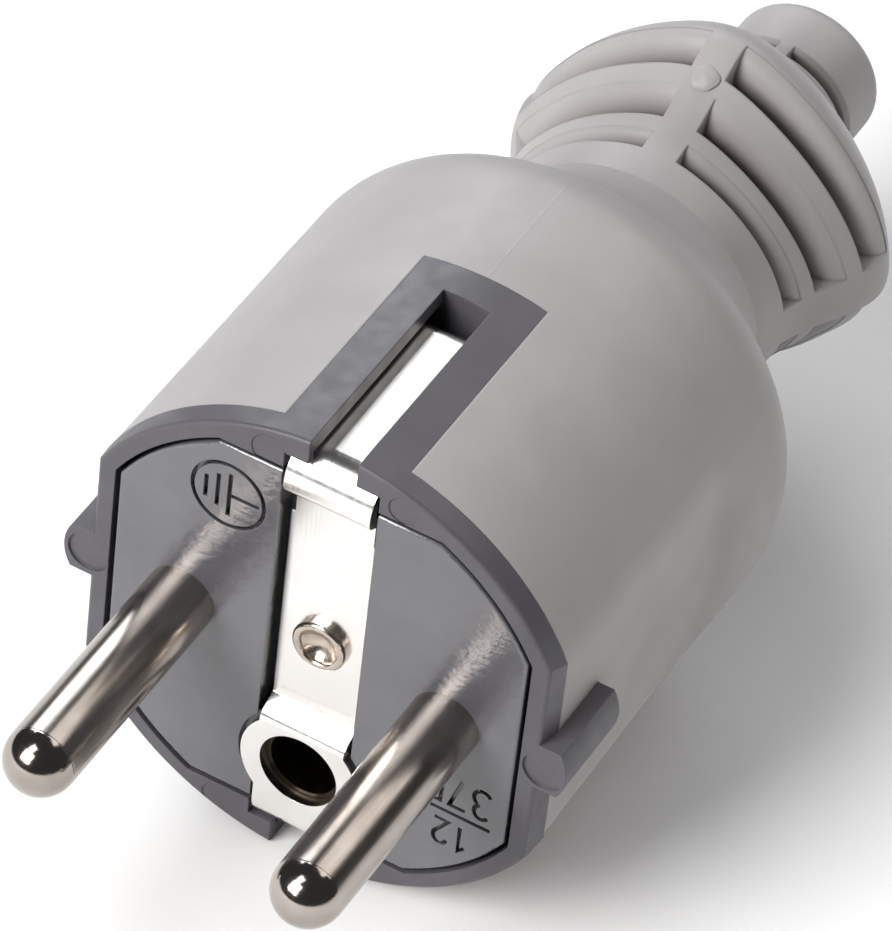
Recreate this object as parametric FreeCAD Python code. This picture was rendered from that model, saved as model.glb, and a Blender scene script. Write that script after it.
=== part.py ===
import FreeCAD, Part
import math
import os
from FreeCAD import Vector

# Two-pole plug with side earth contacts and an earth-pin hole, for 16 A at 250 V.
# The engagement face lies in the plane y = 0, with the pins towards -Y and the cord end towards +Y.
# The pins lie side by side along X, and the side earth contacts are on top and underneath, at +Z and -Z.
# Sizes are in millimetres.

# Pins
pin_pitch = 19.0
pin_diameter = 4.8
pin_length = 19.0
pin_shank_diameter = 4.2
pin_collar_diameter = 5.8
pin_collar_start = 5.0
pin_collar_length = 2.0
pin_shank_end = 12.5
crimp_diameter = 4.4
crimp_length = 7.0
crimp_bore_diameter = 2.8
crimp_bore_depth = 5.5

# Outline that the collar and the grip share: a circle with a flat on each side
body_diameter = 36.4
flat_depth = 1.8
body_draft = 0.25
band_length = 1.75
band_taper = 0.05
band_flat_taper = 0.35
band_wall = 1.2
band_edge_radius = 0.3

# Face plate, a moulding set in the collar that holds the pins
plate_thickness = 3.0
plate_edge_radius = 0.25
plate_gap = 0.3
boss_diameter = 7.2
boss_end = 10.5

# Collar frame
grip_skin = 0.8
sleeve_end = 10.0
seat_ledge = 0.8
key_height = 3.74
key_recess = 0.1
key_length = 6.8
key_root = 1.6
key_crown_radius = 3.6
flange_width = 8.84
flange_end = 18.8
slot_width = 3.4
slot_end = 16.4
ceiling_gap = 0.35
tooth_depth = 0.65
tooth_drop = 0.25
pocket_depth = 2.6
tip_pocket_gap = 0.1

# Earth strip, a stamped sheet folded round the face plate
sheet = 0.8
strip_width = 6.08
strip_recess = 1.15
strip_proud = 0.35
contact_recess = 1.7
contact_lift = 1.0
contact_end = 15.3
contact_tip = 0.9
end_bend_radius = 0.8
fold_radius = 1.8
joggle_radius = 0.5
joggle_drop = 0.8
lip_height = 2.0
ring_step = 6.7
ring_step_rise = 0.8
ring_width = 8.4
strip_gap = 0.35
relief_depth = 0.25
relief_start = 10.6

# Earth-pin hole and its spring socket
earth_pin_drop = 10.0
earth_hole_diameter = 5.6
socket_bore_diameter = 4.9
socket_wall = 0.4
socket_slit = 0.9
socket_end = 15.5
tube_wall = 0.7
tube_end_wall = 1.5

# Rivet through the strip, and the earth core's crimp lug on its tail
rivet_height = 0.5
rivet_head_diameter = 3.8
rivet_head_proud = 0.65
rivet_shank_diameter = 3.0
rivet_cup_diameter = 2.6
rivet_cup_depth = 1.0
rivet_tail_diameter = 4.4
rivet_tail_length = 0.7
rivet_tail_taper = 0.4
lug_ring_diameter = 6.4
lug_barrel_height = 6.9
lug_neck_width = 3.0
lug_barrel_diameter = 4.0
lug_barrel_bore = 2.4
lug_barrel_length = 6.5
lug_barrel_slit = 0.3
metal_gap = 0.04

# Grip, the soft moulded body behind the collar
grip_end = 27.8
shoulder_radius = 5.5
shoulder_angle = 42.0
crease_position = 33.0
neck_position = 40.5
neck_diameter = 19.6
neck_hollow = 0.6
flat_end = 20.5
flat_cove_radius = 3.4
flat_edge_radius = 5.0

# Strain relief: a ribbed bulb with four spines, and the tail that the cord enters.
# Each station of the bulb is its place along Y, its radius at the side spines and at the top and
# bottom spines, and its roundness: 2 is an ellipse, and less is a rounded diamond.
# Each rib slot is its start along Y, its width, and the length over which the rib behind it rolls over.
bulb_stations = ((39.5, 9.9, 9.9, 2.0), (42.9, 10.5, 10.0, 1.8), (45.7, 11.6, 10.7, 1.6),
                 (49.3, 13.4, 12.6, 1.55), (52.0, 13.6, 13.5, 1.6), (54.5, 11.9, 12.2, 1.65),
                 (57.0, 8.9, 9.2, 1.75), (59.6, 6.0, 6.1, 1.85), (61.5, 5.5, 5.5, 2.0))
core_diameter = 14.0
spine_width_top = 2.5
spine_width_side = 3.0
rib_slots = ((43.0, 0.8, 0.8), (45.7, 1.1, 1.2), (49.2, 1.3, 1.5))
rib_roll_depth = 2.0
rib_crest_drop = 0.08
tail_slot_start = 60.8
tail_slot_width = 1.0
tail_slot_floor = 8.8
tail_slot_roll = 0.3
tail_spine_width = 1.0
tail_start = 58.0
tail_diameter = 10.8
tail_end = 66.9
tail_edge_radius = 1.2
cord_bore_diameter = 7.8
cord_bore_start = 31.0

# Places that follow from the sizes above
pin_x = pin_pitch / 2
flat_back = strip_recess + sheet
forward_back = sheet - strip_proud
body_radius = body_diameter / 2
body_half_width = body_radius - flat_depth
front_radius = body_radius - band_taper
front_half_width = body_half_width - band_flat_taper
plate_radius = front_radius - band_wall - plate_gap
plate_half_width = front_half_width - band_wall - plate_gap
contact_height = body_radius - contact_recess
contact_inside = contact_height - sheet
plate_half_height = contact_inside - contact_lift
lip_bottom = contact_height - sheet - lip_height
channel_half = strip_width / 2 + strip_gap
beyond = body_diameter + tail_end
edge_tolerance = 0.01
bore_in_plate = socket_bore_diameter + 2 * socket_wall + 2 * metal_gap
rivet_hole = rivet_shank_diameter + 2 * metal_gap

ORIGIN = Vector(0, 0, 0)
AXIS = Vector(0, 1, 0)
ACROSS = Vector(1, 0, 0)
UP = Vector(0, 0, 1)


def box(x0, x1, y0, y1, z0, z1):
    return Part.makeBox(x1 - x0, y1 - y0, z1 - z0, Vector(x0, y0, z0))


def rod(diameter, y0, y1, x=0.0, z=0.0):
    return Part.makeCylinder(diameter / 2, y1 - y0, Vector(x, y0, z), AXIS)


def line(a, b):
    return Part.LineSegment(a, b).toShape()


def arc(a, b, c):
    return Part.Arc(a, b, c).toShape()


def path(points):
    return [line(a, b) for a, b in zip(points, points[1:])]


def face_of(edges):
    return Part.Face(Part.Wire(Part.__sortEdges__(edges)))


def turned(edges):
    """Solid of revolution about the Y axis from a closed half section in the XY plane."""
    return face_of(edges).revolve(ORIGIN, AXIS, 360)


def body_round(inset, y0, y1):
    """The grip's round form, which narrows slightly to the rear, or the form that lies inset inside it."""
    length = grip_end - band_length
    radii = [body_radius - inset - body_draft * (y - band_length) / length for y in (y0, y1)]
    return Part.makeCone(radii[0], radii[1], y1 - y0, Vector(0, y0, 0), AXIS)


def plate_prism(margin, y0, y1):
    """The face plate's outline, grown by margin: a circle with flats at its sides, top and bottom."""
    x = plate_half_width + margin
    z = plate_half_height + margin
    return rod(2 * (plate_radius + margin), y0, y1).common(box(-x, x, y0, y1, -z, z))


def offset_line(points, radii, side):
    """Edges beside a bent centre line in the YZ plane, at the distance side, with its two end points."""
    corners = [Vector(0, y, z) for y, z in points]
    runs = [(b - a).normalize() for a, b in zip(corners, corners[1:])]
    lefts = [Vector(0, -run.z, run.y) for run in runs]
    start = corners[0] + lefts[0] * side
    first = start
    edges = []
    for i, radius in enumerate(radii):
        into, out = runs[i], runs[i + 1]
        turn = math.atan2(into.y * out.z - into.z * out.y, into.dot(out))
        hand = math.copysign(1, turn)
        centre = corners[i + 1] - into * (radius * math.tan(abs(turn) / 2)) + lefts[i] * (hand * radius)
        reach = hand * (radius - hand * side)
        middle = (lefts[i] + lefts[i + 1]).normalize()
        a = centre - lefts[i] * reach
        c = centre - lefts[i + 1] * reach
        edges += [line(start, a), arc(a, centre - middle * reach, c)]
        start = c
    last = corners[-1] + lefts[-1] * side
    edges.append(line(start, last))
    return edges, first, last


def ribbon(points, radii, thickness):
    """Section in the YZ plane of a bent sheet, from its centre line's corners and bend radii."""
    edges_a, first_a, last_a = offset_line(points, radii, thickness / 2)
    edges_b, first_b, last_b = offset_line(points, radii, -thickness / 2)
    return face_of(edges_a + edges_b + [line(first_a, first_b), line(last_a, last_b)])


def both_ends(shape):
    """The shape at the top and its mirror image underneath."""
    return [shape, shape.mirror(ORIGIN, UP)]


def make_pin(x):
    """Solid pin with a domed tip, a locating collar and a crimp barrel behind."""
    r = pin_diameter / 2
    shank = pin_shank_diameter / 2
    collar = pin_collar_diameter / 2
    collar_end = pin_collar_start + pin_collar_length
    barrel = crimp_diameter / 2
    bore = crimp_bore_diameter / 2
    end = pin_shank_end + crimp_length
    bend = math.pi / 4
    dome = [Vector(0, -pin_length, 0), Vector(r * math.sin(bend), r - r * math.cos(bend) - pin_length, 0),
            Vector(r, r - pin_length, 0)]
    corners = [(r, 0), (shank, 0), (shank, pin_collar_start), (collar, pin_collar_start),
               (collar, collar_end), (shank, collar_end), (shank, pin_shank_end), (barrel, pin_shank_end),
               (barrel, end), (bore, end), (bore, end - crimp_bore_depth), (0, end - crimp_bore_depth)]
    points = [dome[2]] + [Vector(a, b, 0) for a, b in corners] + [dome[0]]
    pin = turned([arc(*dome)] + path(points))
    pin.translate(ACROSS * x)
    return pin


def strip_section():
    """Side view of the earth strip, from the rear end of the top contact to that of the lower one."""
    half = sheet / 2
    side = contact_height - half
    forward = half - strip_proud
    flat = strip_recess + half
    rear = contact_end - half
    tip = contact_inside - contact_tip
    points = [(rear, tip), (rear, side), (forward, side), (forward, lip_bottom),
              (flat, lip_bottom - joggle_drop), (flat, ring_step_rise - ring_step), (forward, -ring_step),
              (forward, -side), (rear, -side), (rear, -tip)]
    radii = [end_bend_radius, fold_radius] + [joggle_radius] * 4 + [fold_radius, end_bend_radius]
    return ribbon(points, radii, sheet)


def make_earth_strip():
    """One stamped and folded sheet: two side contacts, the face strip and the ring round the pin hole."""
    half = strip_width / 2
    widest = ring_width / 2
    front = -strip_proud - sheet
    rear = forward_back + metal_gap
    section = strip_section()
    section.translate(ACROSS * -widest)
    folded = section.extrude(ACROSS * (2 * widest))
    outline = box(-half, half, front, beyond, -beyond, beyond)
    outline = outline.fuse(rod(ring_width, front, rear, 0, -earth_pin_drop))
    strip = folded.common(outline)
    strip = strip.cut(rod(earth_hole_diameter, front, beyond, 0, -earth_pin_drop))
    strip = strip.cut(rod(rivet_hole, front, beyond, 0, rivet_height))
    for a, b in ((-widest, relief_depth - half), (half - relief_depth, widest)):
        strip = strip.cut(box(a, b, strip_recess, flat_back, relief_start, lip_bottom - joggle_drop))
    return strip.removeSplitter()


def make_rivet():
    """Semi-tubular rivet: a cupped head proud of the strip, and a tail set over the crimp lug."""
    head = rivet_head_diameter / 2
    shank = rivet_shank_diameter / 2
    cup = rivet_cup_diameter / 2
    tail = rivet_tail_diameter / 2
    rim = (head - cup) / 2
    front = strip_recess - rivet_head_proud
    shoulder = front + rim
    bottom = front + rivet_cup_depth
    back = plate_thickness + sheet
    end = back + rivet_tail_length
    roll = [Vector(cup, shoulder, 0), Vector(cup + rim, front, 0), Vector(head, shoulder, 0)]
    floor = [Vector(0, bottom, 0), Vector(cup * math.cos(math.pi / 4), shoulder + (bottom - shoulder) / 2, 0),
             roll[0]]
    corners = [(head, strip_recess), (shank, strip_recess), (shank, back), (tail, back),
               (tail - rivet_tail_taper, end), (0, end)]
    points = [roll[2]] + [Vector(a, b, 0) for a, b in corners] + [floor[0]]
    rivet = turned([arc(*floor), arc(*roll)] + path(points))
    rivet.translate(UP * rivet_height)
    return rivet


def make_earth_lug():
    """Crimp lug behind the plate: a ring under the rivet's tail, a bent neck and a slit barrel."""
    front = plate_thickness
    back = front + sheet
    half = lug_neck_width / 2
    neck_top = lug_barrel_height - lug_barrel_bore / 2
    barrel_front = back + sheet
    barrel_end = barrel_front + lug_barrel_length
    section = ribbon([(front + sheet / 2, rivet_height), (front + sheet / 2, neck_top - sheet / 2),
                      (barrel_front + sheet, neck_top - sheet / 2)], [sheet], sheet)
    section.translate(ACROSS * -half)
    lug = section.extrude(ACROSS * (2 * half))
    lug = lug.fuse(rod(lug_ring_diameter, front, back, 0, rivet_height))
    lug = lug.fuse(rod(lug_barrel_diameter, barrel_front, barrel_end, 0, lug_barrel_height))
    lug = lug.cut(rod(lug_barrel_bore, front, barrel_end, 0, lug_barrel_height))
    lug = lug.cut(rod(rivet_shank_diameter, front, back, 0, rivet_height))
    slit = lug_barrel_slit / 2
    top = lug_barrel_height + lug_barrel_diameter
    lug = lug.cut(box(-slit, slit, barrel_front, barrel_end, lug_barrel_height, top))
    return lug.removeSplitter()


def make_earth_socket():
    """Rolled spring socket, slit along its length, behind the ring of the earth strip."""
    outer = socket_bore_diameter + 2 * socket_wall
    front = forward_back + metal_gap
    socket = rod(outer, front, socket_end, 0, -earth_pin_drop)
    socket = socket.cut(rod(socket_bore_diameter, front, socket_end, 0, -earth_pin_drop))
    slit = socket_slit / 2
    return socket.cut(box(-slit, slit, front, socket_end, -earth_pin_drop, outer - earth_pin_drop))


def make_plate_solid():
    """The face plate with its holes and channel still closed: plate, two pin bosses and the socket's tube."""
    plate = plate_prism(0, 0, plate_thickness)
    front_edges = [edge for edge in plate.Edges if edge.BoundBox.YMax < plate_edge_radius]
    plate = plate.makeFillet(plate_edge_radius, front_edges)
    root = flat_back + metal_gap
    tube_end = socket_end + metal_gap + tube_end_wall
    tube = rod(bore_in_plate + 2 * tube_wall, root, tube_end, 0, -earth_pin_drop)
    return plate.fuse([tube] + [rod(boss_diameter, root, boss_end, side * pin_x) for side in (-1, 1)])


def make_face_plate(solid, pins):
    """Front plate with the strip's channel, which is shallow round the ring and deep at both ends."""
    deep = flat_back + metal_gap
    shallow = forward_back + metal_gap
    ring_top = -ring_step - joggle_radius
    fold = sheet / 2 + fold_radius - contact_height
    plate = solid.cut(box(-channel_half, channel_half, 0, deep, ring_top, beyond))
    plate = plate.cut(box(-channel_half, channel_half, 0, shallow, fold, ring_top))
    plate = plate.cut(box(-channel_half, channel_half, 0, deep, -beyond, fold))
    plate = plate.cut(rod(ring_width + 2 * strip_gap, 0, shallow, 0, -earth_pin_drop))
    plate = plate.cut(rod(bore_in_plate, 0, socket_end + metal_gap, 0, -earth_pin_drop))
    plate = plate.cut(rod(rivet_hole, 0, plate_thickness, 0, rivet_height))
    return plate.cut(pins).removeSplitter()


def make_key():
    """Side key of the collar: a bar along Y with a crowned outer face."""
    inner = front_half_width - key_root
    outer = body_radius - key_recess
    half = key_height / 2
    corner = outer - key_crown_radius + math.sqrt(key_crown_radius ** 2 - half ** 2)
    crown = [Vector(corner, 0, -half), Vector(outer, 0, 0), Vector(corner, 0, half)]
    rest = [crown[2], Vector(inner, 0, half), Vector(inner, 0, -half), crown[0]]
    return face_of([arc(*crown)] + path(rest)).extrude(AXIS * key_length)


def flange_block():
    """The top flange with its channel still closed, flush with the grip's round surface."""
    half = flange_width / 2
    inside = plate_half_height + plate_gap - seat_ledge
    return body_round(0, band_length, flange_end).common(
        box(-half, half, band_length, flange_end, inside, body_radius))


def flange_channel():
    """Channel of the top flange: a slot over a wider pocket, with teeth in front and a tip pocket behind."""
    narrow = slot_width / 2
    ceiling = contact_height + ceiling_gap
    floor = contact_inside - metal_gap
    tooth_height = contact_height - tooth_drop
    tip_floor = contact_inside - contact_tip - tip_pocket_gap
    tip_front = contact_end - sheet / 2 - end_bend_radius - tip_pocket_gap
    wide = box(-channel_half, channel_half, tooth_depth, slot_end, floor, ceiling)
    mouth = box(-channel_half, channel_half, 0, pocket_depth, plate_half_height, tooth_height)
    slot = box(-narrow, narrow, 0, slot_end, floor, beyond)
    tip = box(-channel_half, channel_half, tip_front, slot_end, tip_floor, ceiling)
    return wide.fuse([mouth, slot, tip]).removeSplitter()


def make_collar_solid():
    """Everything that the collar fills, with its channels and plate opening still closed."""
    half = body_half_width
    sides = [(front_half_width, 0), (half, band_length), (-half, band_length), (-front_half_width, 0),
             (front_half_width, 0)]
    wedge = face_of(path([Vector(x, y, -body_radius) for x, y in sides])).extrude(UP * body_diameter)
    band = Part.makeCone(front_radius, body_radius, band_length, ORIGIN, AXIS).common(wedge)
    front_edges = [edge for edge in band.Edges if edge.BoundBox.YMax < band_edge_radius]
    band = band.makeFillet(band_edge_radius, front_edges)
    core = half - grip_skin
    sleeve = body_round(grip_skin, band_length, sleeve_end).common(
        box(-core, core, band_length, sleeve_end, -body_radius, body_radius))
    key = make_key()
    return band.fuse([sleeve, key, key.mirror(ORIGIN, ACROSS)] + both_ends(flange_block()))


def make_collar_frame(solid):
    """Dark frame round the face: band, sleeve, two slotted flanges and two side keys."""
    collar = solid.cut(plate_prism(plate_gap, 0, plate_thickness))
    collar = collar.cut(plate_prism(plate_gap - seat_ledge, plate_thickness, flange_end))
    return collar.cut(both_ends(flange_channel())).removeSplitter()


def grip_section():
    """Half section of the grip from the band to the neck: round wall, shoulder arc, cone and hollow neck."""
    turn = math.radians(shoulder_angle)
    centre = Vector(body_radius - body_draft - shoulder_radius, grip_end, 0)
    shoulder = [centre + Vector(math.cos(a), math.sin(a), 0) * shoulder_radius for a in (0, turn / 2, turn)]
    fall = (crease_position - shoulder[2].y) * math.tan(turn)
    crease = Vector(shoulder[2].x - fall, crease_position, 0)
    neck = Vector(neck_diameter / 2, neck_position, 0)
    chord = neck - crease
    inward = Vector(-chord.y, chord.x, 0).normalize()
    hollow = (crease + neck) * 0.5 + inward * neck_hollow
    closing = [neck, Vector(0, neck_position, 0), Vector(0, band_length, 0),
               Vector(body_radius, band_length, 0), shoulder[0]]
    return [arc(*shoulder), line(shoulder[2], crease), arc(crease, hollow, neck)] + path(closing)


def side_flat():
    """Cutter for the flat on the +X side of the grip, which ends in a cove."""
    flat = body_half_width
    r = flat_cove_radius
    bend = math.pi / 4
    cove = [Vector(flat, flat_end, 0),
            Vector(flat + r - r * math.sin(bend), flat_end + r * math.cos(bend), 0),
            Vector(flat + r, flat_end + r, 0)]
    rest = [cove[2], Vector(beyond, flat_end + r, 0), Vector(beyond, 0, 0), Vector(flat, 0, 0), cove[0]]
    cutter = face_of([arc(*cove)] + path(rest)).extrude(UP * (2 * beyond))
    cutter.translate(UP * -beyond)
    return cutter


def bulb_wire(y, side, top, roundness):
    """Rounded diamond in the plane y, as a closed curve through points on a superellipse."""
    points = []
    count = 16
    for i in range(count):
        angle = 2 * math.pi * i / count
        x = math.cos(angle)
        z = math.sin(angle)
        r = (abs(x / side) ** roundness + abs(z / top) ** roundness) ** (-1 / roundness)
        points.append(Vector(r * x, y, r * z))
    curve = Part.BSplineCurve()
    curve.interpolate(points, PeriodicFlag=True)
    return Part.Wire(curve.toShape())


def bulb_shape(y):
    """The bulb's side radius, top radius and roundness at y, on smooth curves through its stations."""
    values = []
    for column in (1, 2, 3):
        curve = Part.BSplineCurve()
        points = [Vector(station[column], 0, 0) for station in bulb_stations]
        curve.interpolate(Points=points, Parameters=[station[0] for station in bulb_stations])
        values.append(curve.value(y).x)
    return values


def rolled_rib(start, end, depth):
    """The rib behind a slot: it rises steeply from depth under the bulb's surface and rolls over to just
    below it, so that the two surfaces nowhere cross."""
    wires = []
    count = 5
    for i in range(count):
        angle = math.pi / 2 * i / (count - 1)
        y = end - (end - start) * math.cos(angle)
        side, top, roundness = bulb_shape(y)
        drop = depth * (1 - math.sin(angle)) + rib_crest_drop
        wires.append(bulb_wire(y, side - drop, top - drop, roundness))
    return Part.makeLoft(wires, True, False)


def ring_slot(start, back, floor, rib, spine_widths):
    """Slot round the strain relief down to the floor's diameter, less the rib and broken by four spines."""
    outer = body_radius
    ring = rod(2 * outer, start, back).cut(rod(floor, start, back))
    top, side = [width / 2 for width in spine_widths]
    spines = [box(-top, top, start, back, -outer, outer), box(-outer, outer, start, back, -side, side)]
    return ring.cut(spines + [rib])


def make_slots():
    """The slots in front of the three ribs, and the square one at the tail's foot."""
    slots = []
    for start, width, roll in rib_slots:
        end = start + width
        rib = rolled_rib(end, end + roll, rib_roll_depth)
        slots.append(ring_slot(start, end + roll, core_diameter, rib, (spine_width_top, spine_width_side)))
    end = tail_slot_start + tail_slot_width
    back = end + tail_slot_roll
    low = tail_diameter / 2 - tail_slot_roll
    rim = Part.makeCone(low, low + tail_slot_roll, tail_slot_roll, Vector(0, end, 0), AXIS)
    slots.append(ring_slot(tail_slot_start, back, tail_slot_floor, rim, (tail_spine_width, tail_spine_width)))
    return slots


def make_tail():
    """Round tail that the cord enters, with a rounded rim."""
    r = tail_diameter / 2
    inner = r - tail_edge_radius
    bend = math.pi / 4
    rim = [Vector(r, tail_end - tail_edge_radius, 0),
           Vector(inner + tail_edge_radius * math.cos(bend),
                  tail_end - tail_edge_radius + tail_edge_radius * math.sin(bend), 0),
           Vector(inner, tail_end, 0)]
    rest = [rim[2], Vector(0, tail_end, 0), Vector(0, tail_start, 0), Vector(r, tail_start, 0), rim[0]]
    return turned([arc(*rim)] + path(rest))


def is_flat_edge(edge):
    """True for the four long edges where a side flat meets the grip's round surface."""
    bounds = edge.BoundBox
    long = bounds.YMax - bounds.YMin > (flat_end - band_length) / 2
    at_flat = abs(abs(edge.CenterOfMass.x) - body_half_width) < edge_tolerance
    return long and at_flat and bounds.YMax < flat_end + edge_tolerance


def make_overmould(collar_solid, inner_parts):
    """Soft moulding in one shot: grip, neck, ribbed bulb and tail, moulded round everything that it holds."""
    flat = side_flat()
    body = turned(grip_section()).cut([flat, flat.mirror(ORIGIN, ACROSS)])
    edges = [edge for edge in body.Edges if is_flat_edge(edge)]
    body = body.makeFillet(flat_edge_radius, edges)
    filling = plate_prism(plate_gap - seat_ledge, plate_thickness, flange_end)
    body = body.cut(collar_solid.cut(filling)).cut(inner_parts)
    bulb = Part.makeLoft([bulb_wire(*station) for station in bulb_stations], True, False)
    body = body.fuse([bulb, make_tail()])
    body = body.cut(make_slots())
    return body.cut(rod(cord_bore_diameter, cord_bore_start, tail_end)).removeSplitter()


def main():
    os.makedirs("parts", exist_ok=True)
    line_pin = make_pin(-pin_x)
    neutral_pin = make_pin(pin_x)
    plate_solid = make_plate_solid()
    collar_solid = make_collar_solid()
    earth_rivet = make_rivet()
    earth_lug = make_earth_lug()
    held = [plate_solid, line_pin, neutral_pin, earth_lug, earth_rivet]
    nodes = {
        "overmould_body": make_overmould(collar_solid, held),
        "collar_frame": make_collar_frame(collar_solid),
        "face_plate": make_face_plate(plate_solid, [line_pin, neutral_pin]),
        "line_pin": line_pin,
        "neutral_pin": neutral_pin,
        "earth_strip": make_earth_strip(),
        "earth_rivet": earth_rivet,
        "earth_socket": make_earth_socket(),
        "earth_lug": earth_lug,
    }
    for name, shape in nodes.items():
        shape.exportStep("parts/" + name + ".step")
        print(name, len(shape.Solids), len(shape.Shells), shape.isValid(), round(shape.Volume, 2))


main()
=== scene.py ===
import bpy
import bmesh
import math
from mathutils import Matrix, Vector


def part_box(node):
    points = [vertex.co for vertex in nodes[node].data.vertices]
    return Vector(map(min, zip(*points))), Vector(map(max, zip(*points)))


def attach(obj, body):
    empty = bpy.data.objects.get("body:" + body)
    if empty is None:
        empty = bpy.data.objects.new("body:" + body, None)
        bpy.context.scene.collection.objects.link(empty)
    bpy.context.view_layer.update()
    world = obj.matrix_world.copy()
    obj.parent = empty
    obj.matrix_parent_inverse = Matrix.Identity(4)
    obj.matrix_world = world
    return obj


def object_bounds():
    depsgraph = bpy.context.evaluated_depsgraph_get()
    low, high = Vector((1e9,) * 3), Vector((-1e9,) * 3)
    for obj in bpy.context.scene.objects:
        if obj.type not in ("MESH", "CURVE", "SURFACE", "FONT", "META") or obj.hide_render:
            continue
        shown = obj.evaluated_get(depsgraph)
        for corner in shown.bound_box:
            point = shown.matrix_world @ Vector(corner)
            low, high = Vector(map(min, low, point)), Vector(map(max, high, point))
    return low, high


# A two-pole earthed plug, dressed on its CAD frame. Lengths are written in millimetres and turned
# into Blender's metres by MM, except in the studio, and angles are written in degrees. The engagement
# face is the plane y = 0, and the pins point towards -Y.
MM = 0.001

# The photograph's camera: where it aims on the engagement face, and from where it looks
CAMERA_AIM = (7.46, 0.0, 21.43)
CAMERA_DISTANCE = 463.7
CAMERA_AZIMUTH = 24.75
CAMERA_ELEVATION = 44.98
CAMERA_ROLL = 7.0
CAMERA_LENS = 299.7

# Grooves sunk in the face plate, as (x, z) places on it. Each sign bar is its x, its lower z and its
# upper z. Every cutter starts a little in front of the face.
CUTTER_FRONT = -0.4
GROOVE_DEPTH = 0.4
GROOVE_WIDTH = 0.3
SIGN_CENTRE = (-6.9, 10.55)
SIGN_RADIUS = 2.55
SIGN_BARS = ((-8.5, 9.6, 11.5), (-7.66, 9.25, 12.0), (-6.83, 8.8, 12.4))
SIGN_STEM_Z = 10.6
SIGN_STEM_START = -6.67
SIGN_STEM_END = -4.72
FRACTION_BAR = ((9.24, -7.6), (13.49, -7.6))

# Two plain numbers beside the bar, upside down: the first digit's foot, its height and the digits
NUMBERS = (((13.3, -4.4), 2.5, "375"), ((12.1, -8.5), 2.15, "12"))
DIGIT_ASPECT = 0.5
DIGIT_GAP = 0.36

# Shallow marks of the mould's ejector pins. On the collar's rim: centre and radius. On the two keys:
# centre, and the two ends of the chord that cuts the round mark off.
RIM_MARK_DEPTH = 0.07
RIM_MARKS = (((-4.4, 15.8), 1.25), ((5.0, 16.0), 1.0), ((-5.8, -16.2), 1.0))
KEY_MARK_DEPTH = 0.17
KEY_MARK_RADIUS = 1.5
KEY_MARKS = (((16.55, -0.15), (15.28, 0.51), (17.79, -0.97)),
             ((-16.3, 0.0), (-16.26, 0.43), (-15.0, -0.25)))

# Cutting marks into a CAD node: its seams are welded first, and edges over this angle stay sharp
WELD_DISTANCE = 0.001
SHARP_ANGLE = 30.0

# The nub where the moulding material entered, on the strain relief's top spine: its place, its slope, its
# size, and how finely its mesh is divided
GATE_Y = 48.7
GATE_Z = 12.42
GATE_SLOPE = 27.0
GATE_RADIUS = 0.95
GATE_HEIGHT = 0.28
GATE_RINGS = 7
GATE_STEPS = 28

# The mould's parting line along the grip's top
SEAM_LOWEST = 11.0
SEAM_END = 41.0
SEAM_HALF_WIDTH = 0.12
SEAM_HEIGHT = 0.012

# The strain relief's outside: places along Y, its radius where the slots start, at its widest and at its
# end, and the power of its superellipse section. Its shade starts behind the neck, and it begins and is
# full at these shares of that radius.
SLOTS_START = 43.0
NECK_END = 43.1
WIDEST_START = 50.5
WIDEST_END = 52.0
BULB_END = 61.0
SLOTS_RADIUS = 10.4
WIDEST_RADIUS = 13.6
BULB_END_RADIUS = 5.6
BULB_POWER = 1.6
SHADE_BEGINS = 0.965
SHADE_FULL = 0.76

# Shade below the face plate's face begins and is full at these depths
FACE_SHADE_BEGINS = 0.06
FACE_SHADE_FULL = 0.3

# How far a pin's widest part, the hidden collar that holds it, stands proud of the pin
PIN_COLLAR_STEP = 0.5

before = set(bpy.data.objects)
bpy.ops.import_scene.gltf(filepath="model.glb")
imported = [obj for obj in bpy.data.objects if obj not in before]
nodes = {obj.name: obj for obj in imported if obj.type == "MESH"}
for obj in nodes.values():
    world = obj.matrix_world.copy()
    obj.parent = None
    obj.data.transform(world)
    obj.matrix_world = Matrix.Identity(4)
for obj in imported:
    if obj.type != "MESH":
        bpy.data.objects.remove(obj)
bpy.context.view_layer.update()
cad_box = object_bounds()


def mm(*values):
    return Vector(values) * MM


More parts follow.
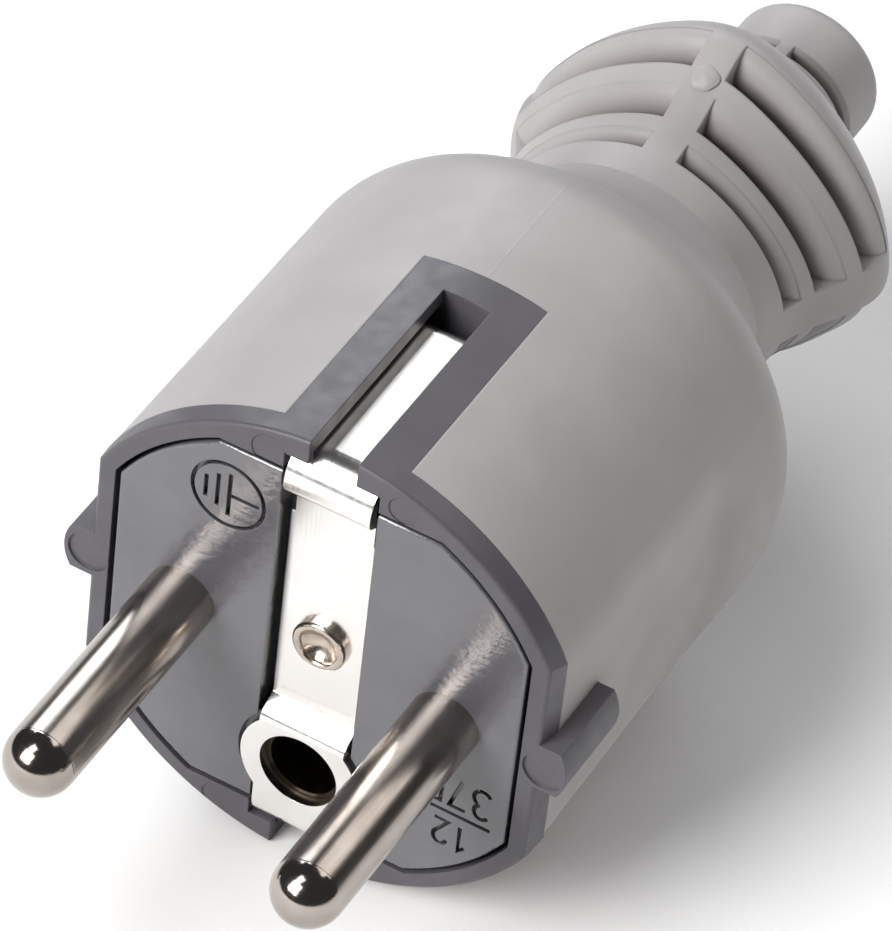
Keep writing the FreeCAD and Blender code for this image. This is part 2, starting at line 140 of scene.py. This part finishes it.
class Surface:
    """A node material with the few connections that every finish here uses."""

    def __init__(self, name, light, dark, patch, metallic=0.0):
        """The base colour wanders from light to dark in patches of about patch millimetres."""
        self.material = bpy.data.materials.new(name)
        self.material.use_nodes = True
        self.tree = self.material.node_tree
        self.shader = self.tree.nodes["Principled BSDF"]
        self.shader.inputs["Base Color"].default_value = (*light, 1)
        self.shader.inputs["Metallic"].default_value = metallic
        self.place = self.add("ShaderNodeTexCoord").outputs["Object"]
        self.tint(self.spread(self.noise(patch), 0.0, 1.0), dark)

    def add(self, kind, **settings):
        made = self.tree.nodes.new(kind)
        for name, value in settings.items():
            setattr(made, name, value)
        return made

    def link(self, source, target):
        self.tree.links.new(source, target)

    def math(self, operation, first, second=None):
        """One arithmetic node; each operand is a number or another node's output."""
        made = self.add("ShaderNodeMath", operation=operation)
        for socket, value in zip(made.inputs, (first, second)):
            if isinstance(value, (int, float)):
                socket.default_value = value
            elif value is not None:
                self.link(value, socket)
        return made.outputs[0]

    def axes(self):
        """The three coordinates in the row frame, in millimetres."""
        split = self.add("ShaderNodeSeparateXYZ")
        self.link(self.place, split.inputs[0])
        return [self.math("DIVIDE", out, MM) for out in split.outputs]

    def noise(self, size, stretch=(1, 1, 1), detail=3.0):
        """Noise with features of about size millimetres, drawn out along the axes by stretch."""
        mapping = self.add("ShaderNodeMapping")
        mapping.inputs["Scale"].default_value = [1 / (size * MM * s) for s in stretch]
        self.link(self.place, mapping.inputs["Vector"])
        made = self.add("ShaderNodeTexNoise")
        made.inputs["Scale"].default_value = 1.0
        made.inputs["Detail"].default_value = detail
        self.link(mapping.outputs[0], made.inputs["Vector"])
        return made.outputs["Fac"]

    def spread(self, source, low, high, start=0.3, end=0.7):
        """The source's range from start to end turned into low to high, and held there beyond it."""
        made = self.add("ShaderNodeMapRange")
        for name, value in (("From Min", start), ("From Max", end), ("To Min", low), ("To Max", high)):
            made.inputs[name].default_value = value
        self.link(source, made.inputs["Value"])
        return made.outputs[0]

    def ridge(self, source, centre, width):
        """1 on the line where source is centre, falling to 0 at width from it."""
        distance = self.math("ABSOLUTE", self.math("SUBTRACT", source, centre))
        return self.spread(distance, 1.0, 0.0, 0.0, width)

    def tint(self, factor, colour):
        """Mixes colour by factor into what the base colour is so far."""
        base = self.shader.inputs["Base Color"]
        mix = self.add("ShaderNodeMix", data_type="RGBA")
        mix.inputs["A"].default_value = base.default_value
        mix.inputs["B"].default_value = (*colour, 1)
        if base.is_linked:
            self.link(base.links[0].from_socket, mix.inputs["A"])
        self.link(factor, mix.inputs["Factor"])
        self.link(mix.outputs["Result"], base)

    def roughen(self, factor, low, high):
        """Roughness from low to high by a noise."""
        self.link(self.spread(factor, low, high), self.shader.inputs["Roughness"])

    def soften(self, radius):
        """Rounds the sharp edges' shading by radius millimetres, under the bumps."""
        bevel = self.add("ShaderNodeBevel", samples=6)
        bevel.inputs["Radius"].default_value = radius * MM
        self.link(bevel.outputs[0], self.shader.inputs["Normal"])

    def bump(self, height, depth):
        """Relief of depth millimetres where height runs from 0 to 1, on top of what is there."""
        made = self.add("ShaderNodeBump")
        made.inputs["Distance"].default_value = depth * MM
        made.inputs["Strength"].default_value = 1.0
        self.link(height, made.inputs["Height"])
        normal = self.shader.inputs["Normal"]
        if normal.is_linked:
            self.link(normal.links[0].from_socket, made.inputs["Normal"])
        self.link(made.outputs[0], normal)


def slot_shade(surface):
    """0 on the outside of the strain relief, rising to 1 towards the floors of its slots."""
    x, y, z = surface.axes()
    parts = [surface.math("POWER", surface.math("ABSOLUTE", value), BULB_POWER) for value in (x, z)]
    radius = surface.math("POWER", surface.math("ADD", *parts), 1 / BULB_POWER)
    rising = surface.spread(y, SLOTS_RADIUS, WIDEST_RADIUS, SLOTS_START, WIDEST_START)
    falling = surface.spread(y, WIDEST_RADIUS, BULB_END_RADIUS, WIDEST_END, BULB_END)
    share = surface.math("DIVIDE", radius, surface.math("MINIMUM", rising, falling))
    behind_neck = surface.math("GREATER_THAN", y, NECK_END)
    return surface.math("MULTIPLY", surface.spread(share, 1.0, 0.0, SHADE_FULL, SHADE_BEGINS), behind_neck)


def seam_line(surface):
    """1 on the mould's parting line, which runs along the grip's top as far as the neck."""
    x, y, z = surface.axes()
    on_top = surface.math("GREATER_THAN", z, SEAM_LOWEST)
    before_neck = surface.math("LESS_THAN", y, SEAM_END)
    there = surface.math("MULTIPLY", on_top, before_neck)
    return surface.math("MULTIPLY", surface.ridge(x, 0.0, SEAM_HALF_WIDTH), there)


def grip_material():
    """Light grey soft PVC: satin, slightly mottled, with shade in its slots and a parting line."""
    surface = Surface("grip soft pvc", (0.35, 0.336, 0.338), (0.312, 0.298, 0.30), 9.0)
    surface.shader.inputs["Subsurface Weight"].default_value = 0.08
    surface.shader.inputs["Subsurface Scale"].default_value = 0.8 * MM
    surface.shader.inputs["Subsurface Radius"].default_value = (1.0, 0.9, 0.85)
    surface.tint(slot_shade(surface), (0.085, 0.062, 0.053))
    surface.roughen(surface.noise(3.0, detail=5.0), 0.44, 0.56)
    surface.soften(0.25)
    surface.bump(surface.noise(0.35, detail=4.0), 0.012)
    surface.bump(surface.noise(6.0), 0.015)
    surface.bump(seam_line(surface), SEAM_HEIGHT)
    return surface.material


def collar_material():
    """Dark grey moulded plastic with a fine spark-eroded grain."""
    surface = Surface("collar moulded plastic", (0.084, 0.080, 0.092), (0.070, 0.066, 0.077), 4.0)
    surface.shader.inputs["IOR"].default_value = 1.5
    surface.roughen(surface.noise(1.5, detail=5.0), 0.38, 0.5)
    surface.soften(0.12)
    surface.bump(surface.noise(0.22, detail=3.0), 0.014)
    return surface.material


def plate_material():
    """Dark grey moulded plastic with a soft gloss and a grain, and shade below its face."""
    surface = Surface("face plate moulded plastic", (0.096, 0.094, 0.106), (0.08, 0.078, 0.089), 5.0)
    surface.shader.inputs["IOR"].default_value = 1.9
    depth = surface.axes()[1]
    surface.tint(surface.spread(depth, 0.0, 0.9, FACE_SHADE_BEGINS, FACE_SHADE_FULL), (0.012, 0.011, 0.011))
    surface.roughen(surface.noise(1.2, detail=5.0), 0.16, 0.26)
    surface.soften(0.06)
    surface.bump(surface.noise(0.45, stretch=(1.6, 1, 1), detail=4.0), 0.04)
    return surface.material


def pin_material():
    """Nickel plate, polished on the dome and drawn along the shank, with a turned line between them."""
    surface = Surface("pin nickel plate", (0.44, 0.40, 0.37), (0.36, 0.32, 0.29), 2.5, metallic=1.0)
    y = surface.axes()[1]
    pin_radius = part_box("line_pin")[1].z / MM - PIN_COLLAR_STEP
    dome_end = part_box("line_pin")[0].y / MM + pin_radius
    polish = surface.spread(surface.noise(0.12, stretch=(1, 40, 1)), 0.08, 0.16)
    drawn = surface.math("MULTIPLY", surface.math("GREATER_THAN", y, dome_end), 0.11)
    surface.link(surface.math("ADD", polish, drawn), surface.shader.inputs["Roughness"])
    surface.bump(surface.noise(0.1, stretch=(1, 60, 1), detail=2.0), 0.003)
    surface.bump(surface.ridge(y, dome_end, 0.08), -0.01)
    return surface.material


def strip_material():
    """Nickel-plated sheet with fine rolling lines along the strip."""
    surface = Surface("strip nickel plate", (0.96, 0.945, 0.925), (0.90, 0.875, 0.85), 3.0, metallic=1.0)
    surface.roughen(surface.noise(0.15, stretch=(1, 30, 30)), 0.18, 0.27)
    surface.soften(0.06)
    surface.bump(surface.noise(0.15, stretch=(1, 30, 30), detail=1.0), 0.0006)
    return surface.material


def rivet_material():
    """Nickel-plated rivet, slightly worn."""
    surface = Surface("rivet nickel plate", (0.62, 0.55, 0.49), (0.48, 0.41, 0.35), 1.5, metallic=1.0)
    surface.roughen(surface.noise(0.4), 0.15, 0.28)
    surface.bump(surface.noise(0.5, detail=2.0), 0.02)
    return surface.material


def brass_material(name, bright, dull):
    """Bare brass sheet, tarnished in places from bright to dull. Nearly black colours make it painted
    shade.
    """
    surface = Surface(name, bright, dull, 2.0, metallic=1.0)
    surface.roughen(surface.noise(0.8), 0.34, 0.5)
    surface.bump(surface.noise(0.2, stretch=(1, 20, 1)), 0.004)
    return surface.material


def floor_material():
    """Pale matt studio floor."""
    surface = Surface("studio floor", (0.90, 0.90, 0.90), (0.885, 0.885, 0.885), 60.0)
    surface.shader.inputs["Roughness"].default_value = 0.9
    surface.shader.inputs["Specular IOR Level"].default_value = 0.0
    return surface.material


def paint():
    """Puts a finish on every CAD node, and returns the finishes by node."""
    pins = pin_material()
    finishes = {
        "overmould_body": grip_material(),
        "collar_frame": collar_material(),
        "face_plate": plate_material(),
        "line_pin": pins,
        "neutral_pin": pins,
        "earth_strip": strip_material(),
        "earth_rivet": rivet_material(),
        # The spring socket's brass is painted nearly black, as painted shade for the inside of the earth
        # hole
        "earth_socket": brass_material("spring socket brass painted dark as shade", (0.05, 0.036, 0.022), (0.022, 0.017, 0.012)),
        "earth_lug": brass_material("crimp lug brass", (0.70, 0.52, 0.25), (0.50, 0.36, 0.17)),
    }
    for name, finish in finishes.items():
        for material_slot in nodes[name].material_slots:
            material_slot.material = finish
    return finishes


def add_object(name, data):
    made = bpy.data.objects.new(name, data)
    bpy.context.scene.collection.objects.link(made)
    return made


def as_mesh(name, mesh, finish):
    """A mesh made from what is in a bmesh, which is freed."""
    data = bpy.data.meshes.new(name)
    mesh.to_mesh(data)
    mesh.free()
    data.materials.append(finish)
    return data


def arc_points(centre, radii, start, end, count):
    """Points on an ellipse's arc from start to end in degrees."""
    points = []
    for i in range(count + 1):
        a = math.radians(start + (end - start) * i / count)
        points.append((centre[0] + radii[0] * math.cos(a), centre[1] + radii[1] * math.sin(a)))
    return points


def circle_points(centre, radius, count):
    """Points on a circle, each one once."""
    return arc_points(centre, (radius, radius), 0, 360, count)[:-1]


def digit_line(digit):
    """The middle line of a digit that is one stroke, in a box 1 wide and 1 high."""
    if digit == "1":
        return [(0.2, 0.78), (0.6, 1.0), (0.6, 0.0)]
    if digit == "2":
        return arc_points((0.5, 0.72), (0.45, 0.28), 165, -25, 9) + [(0.05, 0.0), (0.98, 0.0)]
    if digit == "3":
        upper = arc_points((0.45, 0.76), (0.42, 0.24), 150, -60, 9)
        lower = arc_points((0.45, 0.27), (0.5, 0.27), 60, -150, 9)
        return upper + lower
    if digit == "5":
        belly = arc_points((0.46, 0.32), (0.48, 0.32), 110, -150, 10)
        return [(0.9, 1.0), (0.2, 1.0), (0.14, 0.56)] + belly
    return [(0.05, 1.0), (0.95, 1.0), (0.35, 0.0)]


def half_width(corners, i, closed):
    """Half the groove's width at a corner, square to its line, and up to twice that where it turns."""
    count = len(corners)
    before = corners[i - 1] if closed or i else None
    after = corners[(i + 1) % count] if closed or i + 1 < count else None
    into = (corners[i] - before).normalized() if before is not None else None
    out = (after - corners[i]).normalized() if after is not None else None
    into = into or out
    out = out or into
    along = (into + out).normalized()
    turn = max(0.5, along.dot(out))
    return Vector((-along.y, along.x)) * (GROOVE_WIDTH / 2 / turn)


def add_groove(mesh, points, closed=False):
    """Bar along points in the XZ plane that cuts one groove, in mesh."""
    corners = [Vector(p) for p in points]
    count = len(corners)
    rings = []
    for i, corner in enumerate(corners):
        side = half_width(corners, i, closed)
        places = [(corner + side, CUTTER_FRONT), (corner - side, CUTTER_FRONT),
                  (corner - side, GROOVE_DEPTH), (corner + side, GROOVE_DEPTH)]
        rings.append([mesh.verts.new(mm(p.x, y, p.y)) for p, y in places])
    for i in range(count if closed else count - 1):
        a, b = rings[i], rings[(i + 1) % count]
        for j in range(4):
            mesh.faces.new((a[j], a[(j + 1) % 4], b[(j + 1) % 4], b[j]))
    if not closed:
        mesh.faces.new(rings[0][::-1])
        mesh.faces.new(rings[-1])


def add_disc(mesh, points, depth):
    """Flat plug with the outline points in the XZ plane that cuts to depth, in mesh."""
    front = [mesh.verts.new(mm(x, CUTTER_FRONT, z)) for x, z in points]
    rear = [mesh.verts.new(mm(x, depth, z)) for x, z in points]
    mesh.faces.new(front)
    mesh.faces.new(rear[::-1])
    for i in range(len(points)):
        j = (i + 1) % len(points)
        mesh.faces.new((front[i], rear[i], rear[j], front[j]))


def sink(node, mesh, finish):
    """Cuts the closed forms in mesh out of a CAD node, with crisp edges and flat-looking flats."""
    bmesh.ops.recalc_face_normals(mesh, faces=mesh.faces)
    cutter = add_object(node + "_cutter", as_mesh(node + "_cutter", mesh, finish))
    cutter.hide_render = True
    cutter.hide_set(True)
    target = nodes[node]
    target.modifiers.new("weld", "WELD").merge_threshold = WELD_DISTANCE * MM
    cut = target.modifiers.new("cut", "BOOLEAN")
    cut.operation = "DIFFERENCE"
    cut.solver = "EXACT"
    cut.use_self = True
    cut.object = cutter
    target.modifiers.new("edges", "EDGE_SPLIT").split_angle = math.radians(SHARP_ANGLE)
    weighted = target.modifiers.new("normals", "WEIGHTED_NORMAL")
    weighted.keep_sharp = True


def sink_plate_marks(finish):
    """The earth sign and two plain numbers with a bar between them."""
    mesh = bmesh.new()
    add_groove(mesh, circle_points(SIGN_CENTRE, SIGN_RADIUS, 64), closed=True)
    for x, low, high in SIGN_BARS:
        add_groove(mesh, [(x, low), (x, high)])
    add_groove(mesh, [(SIGN_STEM_START, SIGN_STEM_Z), (SIGN_STEM_END, SIGN_STEM_Z)])
    add_groove(mesh, FRACTION_BAR)
    for (x, z), height, digits in NUMBERS:
        width = height * DIGIT_ASPECT
        for i, digit in enumerate(digits):
            foot = x - i * (width + DIGIT_GAP)
            add_groove(mesh, [(foot - u * width, z - v * height) for u, v in digit_line(digit)])
    sink("face_plate", mesh, finish)


def cut_circle(centre, chord_start, chord_end):
    """A key's round mark without the part above its chord."""
    start, end = Vector(chord_start), Vector(chord_end)
    along = end - start
    across = Vector((-along.y, along.x)).normalized()
    kept = []
    for point in circle_points(centre, KEY_MARK_RADIUS, 72):
        above = (Vector(point) - start).dot(across)
        kept.append(tuple(Vector(point) - across * max(0.0, above)))
    return kept


def sink_collar_marks(finish):
    """Shallow round marks on the collar's rim, and one with a chord on each side key."""
    mesh = bmesh.new()
    for centre, radius in RIM_MARKS:
        add_disc(mesh, circle_points(centre, radius, 40), RIM_MARK_DEPTH)
    for mark in KEY_MARKS:
        add_disc(mesh, cut_circle(*mark), KEY_MARK_DEPTH)
    sink("collar_frame", mesh, finish)


def gate_place(share, a):
    """A place on the gate's nub, at a share of its radius and an angle: wavy at its edge and dimpled."""
    wobble = 1 + 0.05 * math.sin(3 * a + 1.0) + 0.03 * math.sin(5 * a)
    radius = GATE_RADIUS * share * wobble
    dimple = 0.16 * math.sin(4.1 * share * math.cos(a) + 0.7) * math.cos(3.3 * share * math.sin(a))
    edge = min(1.0, 4.2 * (1 - share))
    droop = 0.1 * share
    height = GATE_HEIGHT * (0.72 + dimple) * edge - droop
    return mm(radius * math.cos(a), radius * math.sin(a), height)


def add_gate_mark(finish):
    """The small uneven nub that is left where the moulding was cut from its runner."""
    mesh = bmesh.new()
    tilt = Matrix.Rotation(math.radians(GATE_SLOPE), 4, "X")
    rows = []
    for i in range(GATE_RINGS + 1):
        angles = [2 * math.pi * j / GATE_STEPS for j in range(GATE_STEPS)]
        places = [tilt @ gate_place(i / GATE_RINGS, a) for a in angles]
        rows.append([mesh.verts.new(mm(0, GATE_Y, GATE_Z) + place) for place in places])
    for inner, outer in zip(rows, rows[1:]):
        for j in range(GATE_STEPS):
            k = (j + 1) % GATE_STEPS
            mesh.faces.new((inner[j], outer[j], outer[k], inner[k]))
    bmesh.ops.remove_doubles(mesh, verts=mesh.verts, dist=WELD_DISTANCE * MM)
    for face in mesh.faces:
        face.smooth = True
    nub = add_object("gate_mark", as_mesh("gate_mark", mesh, finish))
    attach(nub, "root")


def add_floor():
    """Plain pale floor that the grip's lowest line rests on, six metres each way."""
    level = cad_box[0].z
    half = 3.0
    mesh = bpy.data.meshes.new("floor")
    corners = [(-half, -half, level), (half, -half, level), (half, half, level), (-half, half, level)]
    mesh.from_pydata(corners, [], [(0, 1, 2, 3)])
    mesh.materials.append(floor_material())
    add_object("floor", mesh)


def direction(azimuth, elevation):
    """Unit vector from the object towards a place; azimuth 0 is in front of the pins, 90 at +X."""
    a, e = math.radians(azimuth), math.radians(elevation)
    return Vector((math.sin(a) * math.cos(e), -math.cos(a) * math.cos(e), math.sin(e)))


def add_softbox(name, azimuth, elevation, distance, size, power, colour=(1, 1, 1)):
    """Square area light that faces the plug's middle, distance and size in metres and power in watts."""
    light = bpy.data.lights.new(name, "AREA")
    light.size = size
    light.energy = power
    light.color = colour
    softbox = add_object(name, light)
    middle = (cad_box[0] + cad_box[1]) / 2
    towards = direction(azimuth, elevation)
    softbox.location = middle + towards * distance
    softbox.rotation_mode = "QUATERNION"
    softbox.rotation_quaternion = towards.to_track_quat("Z", "Y")
    return softbox


def add_lights():
    """Soft lights round the plug. Two of them don't show in its shine, and the card shows only there."""
    add_softbox("back softbox", -141, 31, 0.9, 0.42, 3.2, (0.96, 0.98, 1.0))
    add_softbox("front softbox", -27, 34, 0.8, 0.42, 8.4, (1.0, 0.99, 0.98))
    add_softbox("ceiling softbox", -36, 61, 0.9, 0.3, 1.0)
    overhead = add_softbox("overhead softbox", 176, 48, 0.9, 0.8, 3.0, (0.96, 0.98, 1.0))
    side = add_softbox("side softbox", 98, 24, 1.0, 0.6, 2.2, (1.0, 0.93, 0.89))
    for soft in (overhead, side):
        soft.visible_glossy = False
    card = add_softbox("reflection card", 157, 46, 0.9, 0.58, 1.9, (1.0, 0.96, 0.92))
    card.visible_diffuse = False


def add_surroundings():
    """Weak even light from all round."""
    world = bpy.data.worlds.new("studio")
    world.use_nodes = True
    background = world.node_tree.nodes["Background"]
    background.inputs["Color"].default_value = (0.97, 0.98, 1.0, 1)
    background.inputs["Strength"].default_value = 0.06
    bpy.context.scene.world = world
    bpy.context.scene.view_settings.view_transform = "Standard"


def add_camera():
    """The photograph's camera, rolled about its view."""
    camera = bpy.data.cameras.new("camera")
    camera.lens = CAMERA_LENS
    holder = add_object("camera", camera)
    back = direction(CAMERA_AZIMUTH, CAMERA_ELEVATION)
    azimuth, roll = math.radians(CAMERA_AZIMUTH), math.radians(CAMERA_ROLL)
    level = Vector((math.cos(azimuth), math.sin(azimuth), 0))
    upright = back.cross(level)
    right = level * math.cos(roll) + upright * math.sin(roll)
    above = upright * math.cos(roll) - level * math.sin(roll)
    place = mm(*CAMERA_AIM) + back * (CAMERA_DISTANCE * MM)
    turn = Matrix((right, above, back)).transposed().to_4x4()
    holder.matrix_world = Matrix.Translation(place) @ turn
    bpy.context.scene.camera = holder


finishes = paint()
sink_plate_marks(finishes["face_plate"])
sink_collar_marks(finishes["collar_frame"])
add_gate_mark(finishes["overmould_body"])
add_floor()
add_lights()
add_surroundings()
add_camera()

bpy.context.view_layer.update()
